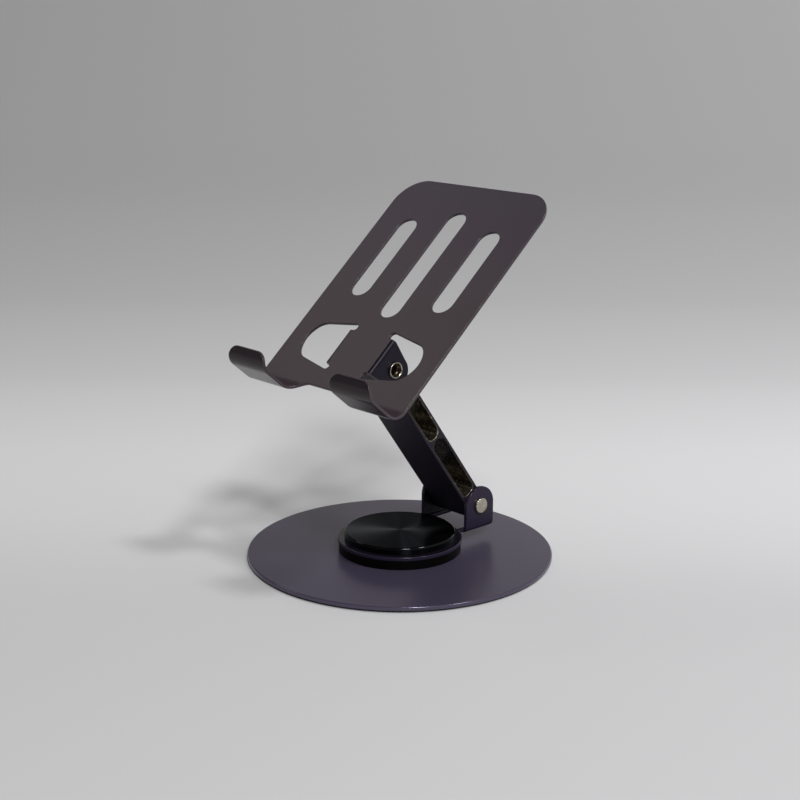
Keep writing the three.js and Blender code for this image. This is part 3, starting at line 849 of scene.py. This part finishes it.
# ---- hinge hardware ----
def rivet(name, ear_outer, pivot, direction):
    """A semi-tubular rivet. direction is 1 where its solid head is on the +X side."""
    head_end = ear_outer + RIVET_HEAD_HEIGHT
    roll_end = -ear_outer - ROLL_HEIGHT
    hollow_end = -ear_outer + HOLLOW_DEPTH
    drill_point = 0.4
    flare_start = roll_end + 2.0
    throat = roll_end + 1.3
    mouth = roll_end + 0.25
    roll_edge = roll_end + 0.06
    crest_radius = RIVET_HEAD - 0.34
    mouth_radius = RIVET_HEAD - 0.55
    throat_radius = mouth_radius - 0.3
    foot_radius = RIVET_HEAD - 0.1
    profile = [
        (0, hollow_end, 0),
        (HOLLOW_RADIUS, hollow_end - drill_point, 0),
        (HOLLOW_RADIUS, flare_start, 0),
        (throat_radius, throat, 0.3),
        (mouth_radius, mouth, CRISP),
        (crest_radius, roll_end, 0.12),
        (RIVET_HEAD, roll_edge, 0.25),
        (foot_radius, -ear_outer, CRISP),
        (RIVET_SHANK, -ear_outer, 0),
        (RIVET_SHANK, ear_outer, 0),
        (RIVET_HEAD, ear_outer, CRISP),
        (RIVET_HEAD, head_end, 0.32),
        (0, head_end, 0),
    ]
    profile = [(r, h * direction, c) for r, h, c in profile]
    # The hollow takes the darker nickel, a painted shade.
    return turned(name, profile, [NICKEL, NICKEL_BORE_SHADED], centre=pivot, axis="X", segments=64,
                  bore=mouth_radius + BORE_GAP)


def bush(name, pivot, side):
    bore = RIVET_SHANK + RUNNING_GAP
    inner_end = ARM_HALF_WIDTH - BUSH_LENGTH
    flange_end = ARM_HALF_WIDTH + FLANGE_THICKNESS
    profile = [
        (bore, inner_end, CRISP),
        (BUSH_RADIUS, inner_end, 0.15),
        (BUSH_RADIUS, ARM_HALF_WIDTH, 0),
        (FLANGE_RADIUS, ARM_HALF_WIDTH, 0),
        (FLANGE_RADIUS, flange_end, CRISP),
        (bore, flange_end, 0.08),
    ]
    profile = [(r, h * side, c) for r, h, c in profile]
    return turned(name, profile, [NYLON], centre=pivot, axis="X", segments=48)


def hinge_hardware():
    for name, ear_outer, pivot, direction, body in (
            ("lower", EAR_OUTER, LOWER_PIVOT, 1, "turntable"),
            ("upper", TRAY_EAR_OUTER, UPPER_PIVOT, -1, "tray")):
        pin = rivet(name + "_pin", ear_outer, pivot, direction)
        fitted(pin, name + "_rivet", body)
        for side_name, side in (("left", -1), ("right", 1)):
            piece = bush(f"{name}_bearing_{side_name}", pivot, side)
            fitted(piece, f"{name}_bush_{side_name}", "arm")


# ---- arm ----
def arm():
    """Outline drawn with a along the arm from the lower pivot, and b to its front."""
    end = ARM_LENGTH + ARM_END
    outline = rounded_box(-ARM_END, -ARM_HALF_DEPTH, end, ARM_HALF_DEPTH, ARM_CORNER, 8)
    half = WINDOW_HALF_DEPTH
    corner = WINDOW_CORNER
    window_end = (ARM_LENGTH - RIB) / 2
    lower = [
        *arc(window_end - half, 0, half, -90, 90, 24),
        *arc(WINDOW_START + corner, half - corner, corner, 90, 180, 10),
        *arc(WINDOW_START + corner, corner - half, corner, 180, 270, 10),
    ]
    upper = [(ARM_LENGTH - a, b) for a, b in lower]
    bores = [circle(a, 0, BUSH_RADIUS + BORE_GAP, 48) for a in (0, ARM_LENGTH)]

    def place(a, b, depth):
        point = LOWER_PIVOT + ARM_ALONG * a + ARM_FRONT * b
        return point + Vector((ARM_HALF_WIDTH - depth, 0, 0))

    piece = plate("strut", outline, [lower, upper, *bores], 2 * ARM_HALF_WIDTH, ARM_EDGE, place,
                  [ARM_PAINT, WINDOW_ALLOY], hole_material=1)
    return fitted(piece, "arm", "arm")


# ---- tray ----
def d_cut_out():
    """The D hole's outer side and its two relief cuts, anticlockwise from the ear's lower root."""
    relief = 1.3
    relief_end = 8.5
    inner = relief_end + relief
    low = TRAY_EAR_LOW
    high = TRAY_EAR_HIGH
    belly = 28.75
    corners = [(22.6, 29.7), (27.2, 32.7), (belly, 37.7), (27.2, 42.7), (22.9, 45.4)]
    return [
        (TRAY_FOLD, low),
        *arc(inner, low - relief, relief, 90, 270, 10),
        corners[0],
        *curve(corners[0], (25.7, 30.3), corners[1]),
        *curve(corners[1], (belly, 35.2), corners[2]),
        *curve(corners[2], (belly, 40.4), corners[3]),
        *curve(corners[3], (25.7, 44.9), corners[4]),
        *arc(inner, high + relief, relief, 90, 270, 10),
        (TRAY_FOLD, high),
    ]


def tray_ear():
    """The ear's flat pattern from its upper to its lower root, in (x, s)."""
    straight = TRAY_FOLD + TRAY_BEND_LENGTH
    end = arc(TRAY_EAR_END_X, TRAY_EAR_END_S, TRAY_EAR_END_RADIUS, 90, -90, 28)
    return [(straight, TRAY_EAR_HIGH), *end, (straight, TRAY_EAR_LOW)]


def tray_outline():
    """The whole flat pattern's outer loop, anticlockwise from the right hook's root."""
    tip = TRAY_BOTTOM - HOOK_LENGTH
    side = TRAY_HALF_WIDTH
    right = [
        *arc(HOOK_INNER - HOOK_FILLET, TRAY_BOTTOM - HOOK_FILLET, HOOK_FILLET, 90, 0, 16),
        *arc(HOOK_INNER + LIP_CORNER, tip + LIP_CORNER, LIP_CORNER, 180, 270, 14),
        *arc(side - LIP_CORNER, tip + LIP_CORNER, LIP_CORNER, 270, 360, 14),
        *arc(side - TRAY_CORNER, TRAY_TOP - TRAY_CORNER, TRAY_CORNER, 0, 90, 28),
    ]
    return [*right, *mirrored(right)]


def tray_holes():
    """The slots, the D cut-outs around the ears, and the ears' bores."""
    half = SLOT_HALF_WIDTH
    slots = [rounded_box(x - half, low, x + half, high, half, 16) for x, low, high in SLOTS]
    ring = [*d_cut_out(), *tray_ear()]
    bore_x = TRAY_FOLD + TRAY_BEND_LENGTH + PIVOT_DEPTH - TRAY_EAR_BEND
    bore = circle(bore_x, PIVOT_S, RIVET_SHANK + BORE_GAP, 32)
    return [*slots, ring, mirrored(ring), bore, mirrored(bore)]


def on_tray_ear(x, s):
    """Whether a point of the flat pattern, x from the middle, is on an ear past its fold."""
    margin = 0.1
    if x <= TRAY_FOLD or not TRAY_EAR_LOW - margin < s < TRAY_EAR_HIGH + margin:
        return False
    from_end = math.hypot(x - TRAY_EAR_END_X, s - TRAY_EAR_END_S)
    return x <= TRAY_EAR_END_X or from_end < TRAY_EAR_END_RADIUS + margin


def hook_point(length, depth):
    """(s, out) of a hook's sheet, length along its inner face from the root, depth into it."""
    heading = -QUARTER + min(length, HOOK_ROOT_LENGTH) / HOOK_BEND_RADIUS
    s = TRAY_BOTTOM - HOOK_BEND_RADIUS * math.cos(heading)
    out = HOOK_BEND_RADIUS * (1 + math.sin(heading))
    length -= HOOK_ROOT_LENGTH
    if length > 0:
        run = min(length, HOOK_FLOOR)
        s += run * math.sin(heading)
        out += run * math.cos(heading)
        length -= HOOK_FLOOR
    if length > 0:
        centre_s = s + LIP_BEND_RADIUS * math.cos(heading)
        centre_out = out - LIP_BEND_RADIUS * math.sin(heading)
        heading += min(length, LIP_BEND_LENGTH) / LIP_BEND_RADIUS
        s = centre_s - LIP_BEND_RADIUS * math.cos(heading)
        out = centre_out + LIP_BEND_RADIUS * math.sin(heading)
        length -= LIP_BEND_LENGTH
    if length > 0:
        s += length * math.sin(heading)
        out += length * math.cos(heading)
    return s - depth * math.cos(heading), out + depth * math.sin(heading)


def tray_point(x, s, depth):
    """Puts a point of the tray's flat pattern in space."""
    out = -depth
    if s < TRAY_BOTTOM:
        s, out = hook_point(TRAY_BOTTOM - s, depth)
    elif on_tray_ear(abs(x), s):
        beyond = abs(x) - TRAY_FOLD
        angle = min(beyond / TRAY_EAR_BEND, QUARTER)
        radius = TRAY_EAR_BEND - depth
        x = math.copysign(1, x) * (TRAY_FOLD + radius * math.sin(angle))
        out = -TRAY_EAR_BEND + radius * math.cos(angle) - max(0, beyond - TRAY_BEND_LENGTH)
    local = TRAY_UP * (s - PIVOT_S) + TRAY_OUT * (out + PIVOT_DEPTH)
    return UPPER_PIVOT + local + Vector((x, 0, 0))


def hook_bend_points():
    """Points all over both hooks' flat patterns, for plate's faces there."""
    rows = 46
    columns = 12
    above_root = 0.2
    inner = HOOK_INNER - HOOK_FILLET
    return [
        (side * (inner + (TRAY_HALF_WIDTH - inner) * (j + 0.5) / columns),
         TRAY_BOTTOM + above_root - (HOOK_LENGTH + above_root) * i / rows)
        for side in (-1, 1) for i in range(rows) for j in range(columns)
    ]


def tray():
    """One pressing: ears bent back at TRAY_FOLD, hooks curled forward below TRAY_BOTTOM."""
    ear_points = bend_points(TRAY_FOLD, TRAY_BEND_LENGTH, TRAY_EAR_LOW, TRAY_EAR_HIGH)

    # The ears and the back face take darker copies of the tray paint, a painted shade.
    def face_material(x, s, back):
        if on_tray_ear(abs(x), s):
            return 1
        return 2 if back else 0

    piece = plate("phone_tray", tray_outline(), tray_holes(), TRAY_SHEET, SHEET_EDGE, tray_point,
                  [TRAY_PAINT, TRAY_EAR_SHADED_PAINT, TRAY_BACK_SHADED_PAINT],
                  extra=hook_bend_points() + ear_points, spacing=0.5, face_material=face_material)
    return fitted(piece, "tray", "tray")


# ---- stage: camera, floor and light ----
def camera():
    """Looks down on the stand from its right front."""
    position = Vector((0.3781, -0.3528, 0.1964))
    yaw = math.radians(47.0)
    pitch = math.radians(15.0)
    roll = math.radians(0.26)
    right = Vector((math.cos(yaw), math.sin(yaw), 0))
    level = Vector((-math.sin(yaw), math.cos(yaw), 0))
    forward = level * math.cos(pitch) - Vector((0, 0, math.sin(pitch)))
    up = right.cross(forward)
    turned_right = right * math.cos(roll) + up * math.sin(roll)
    turned_up = up * math.cos(roll) - right * math.sin(roll)
    data = bpy.data.cameras.new("camera")
    data.lens = 68.175
    data.sensor_width = 36
    data.clip_start = 0.01
    data.clip_end = 400
    item = bpy.data.objects.new("camera", data)
    bpy.context.scene.collection.objects.link(item)
    columns = Matrix((turned_right, turned_up, -forward)).transposed()
    item.matrix_world = Matrix.Translation(position) @ columns.to_4x4()
    bpy.context.scene.camera = item


def floor_material():
    """A pale floor with painted light: its tone falls off with distance along the view, and a tint that
    fans out sideways paints it darker to the left and lighter to the right, where the light comes from.
    """
    near = -0.2
    far = 1.8
    # Painted light falloff: the floor darkens with distance and is a little darker at the front of the
    # base, a painted shade.
    painted_falloff_tones = [(near, 0.68), (-0.05, 0.66), (0.05, 0.74), (0.15, 0.725), (0.26, 0.61),
             (0.47, 0.48), (0.98, 0.4), (far, 0.39)]
    left_painted_shade = (0.83, 0.825, 0.825)
    right_painted_light = (1.19, 1.185, 1.21)
    fan_start = 0.3
    fan_growth = 0.35
    n = material_nodes("floor")
    away = n.dot(n.place, VIEW_AWAY)
    ramp = n.add("ShaderNodeValToRGB")
    ramp.color_ramp.interpolation = "CARDINAL"
    n.link(n.remap(away, 0, 1, near, far), ramp.inputs["Fac"])
    while len(ramp.color_ramp.elements) < len(painted_falloff_tones):
        ramp.color_ramp.elements.new(0.5)
    for element, (distance, tone) in zip(ramp.color_ramp.elements, painted_falloff_tones):
        element.position = (distance - near) / (far - near)
        element.color = (tone, tone, tone, 1)
    spread = n.math("MULTIPLY_ADD", n.math("MAXIMUM", away, 0.0), fan_growth, fan_start)
    fan = n.math("DIVIDE", n.dot(n.place, VIEW_RIGHT), spread)
    tint = n.mix(n.remap(fan, 0, 1, from_low=-1, from_high=1), left_painted_shade, right_painted_light)
    painted_floor_light = n.add("ShaderNodeVectorMath", operation="MULTIPLY")
    n.link(ramp.outputs["Color"], painted_floor_light.inputs[0])
    n.link(tint, painted_floor_light.inputs[1])
    n.feed(Base_Color=painted_floor_light.outputs["Vector"])
    n.set(Roughness=0.8, Specular_IOR_Level=0.2)
    n.bump(n.noise(700, detail=3), strength=0.15, distance_mm=0.03)
    return n.owner


def floor():
    """A wide round floor in metres, with rings of faces that grow outwards."""
    segments = 64
    rings = [0.3, 1.0, 4.0, 20.0, 160]
    points = [(0, 0, 0)]
    faces = []
    for k, radius in enumerate(rings):
        start = len(points)
        points += [(x, y, 0) for x, y in circle(0, 0, radius, segments)]
        for i in range(segments):
            j = (i + 1) % segments
            if k == 0:
                faces.append((0, start + i, start + j))
            else:
                faces.append((start - segments + i, start + i, start + j, start - segments + j))
    mesh = bpy.data.meshes.new("floor")
    mesh.from_pydata(points, [], faces)
    mesh.materials.append(floor_material())
    item = bpy.data.objects.new("floor", mesh)
    bpy.context.scene.collection.objects.link(item)


def lamp(name, direction, strength, spread, colour):
    """A distant soft lamp; spread is its apparent size in degrees."""
    data = bpy.data.lights.new(name, "SUN")
    data.energy = strength
    data.angle = math.radians(spread)
    data.color = colour
    item = bpy.data.objects.new(name, data)
    bpy.context.scene.collection.objects.link(item)
    item.rotation_mode = "QUATERNION"
    item.rotation_quaternion = Vector(direction).to_track_quat("Z", "Y")


def surroundings():
    """A pale band on the horizon, brighter to the right, and a soft light overhead.

    It is dark between the two. Weaker glows fill the right side and the foot of the near wall.
    """
    world = bpy.data.worlds.new("room")
    bpy.context.scene.world = world
    n = Nodes(world, "Background", "Generated")

    def glow(first, second):
        """Product of two smooth steps, each (source, from_low, from_high, low, high)."""
        steps = [
            n.remap(source, low, high, from_low, from_high, "SMOOTHSTEP")
            for source, from_low, from_high, low, high in (first, second)
        ]
        return n.math("MULTIPLY", *steps)

    height = n.dot(n.place, (0, 0, 1))
    right = n.dot(n.place, VIEW_RIGHT)
    away = n.dot(n.place, VIEW_AWAY)
    band = glow((away, -0.3, 0.4, 0.3, 1), (height, 0.3, 0.5, 1, 0))
    to_right = n.remap(right, 0.3, 0.78, -0.35, 0.35, "SMOOTHSTEP")
    wall = n.math("MULTIPLY", band, to_right)
    overhead = glow((height, 0.3, 0.8, 0, 1), (right, -0.1, 0.6, 0.1, 0.48))
    side = glow((right, 0.3, 0.95, 0, 0.26), (away, -0.6, 0.2, 1, 0.3))
    skirting = glow((height, 0.02, 0.08, 0.45, 0), (away, -0.1, 0.3, 1, 0))
    level = n.math("ADD", n.math("ADD", wall, overhead), n.math("ADD", side, skirting))
    n.feed(Strength=level)
    n.set(Color=(1.0, 0.985, 0.965, 1))


def lights():
    cool = (0.98, 0.99, 1.0)
    warm = (1.0, 0.97, 0.95)
    lamp("key", (0.497, -0.287, 0.819), strength=0.5, spread=9.0, colour=cool)
    lamp("window", (0.665, -0.339, 0.665), strength=1.33, spread=13.0, colour=cool)
    lamp("second", (0.5, 0.22, 0.866), strength=0.78, spread=8.0, colour=cool)
    lamp("left", (-0.69, -0.2, 0.69), strength=0.13, spread=14.0, colour=warm)


bpy.context.scene.view_settings.view_transform = "Standard"
camera()
floor()
surroundings()
lights()

base_pad()
base_plate()
bearing_ring()
swivel_stud()
slide_washer()
wave_washer()
swivel_bracket()
hub_cap()
cap_foam_ring()
hinge_hardware()
arm()
tray()
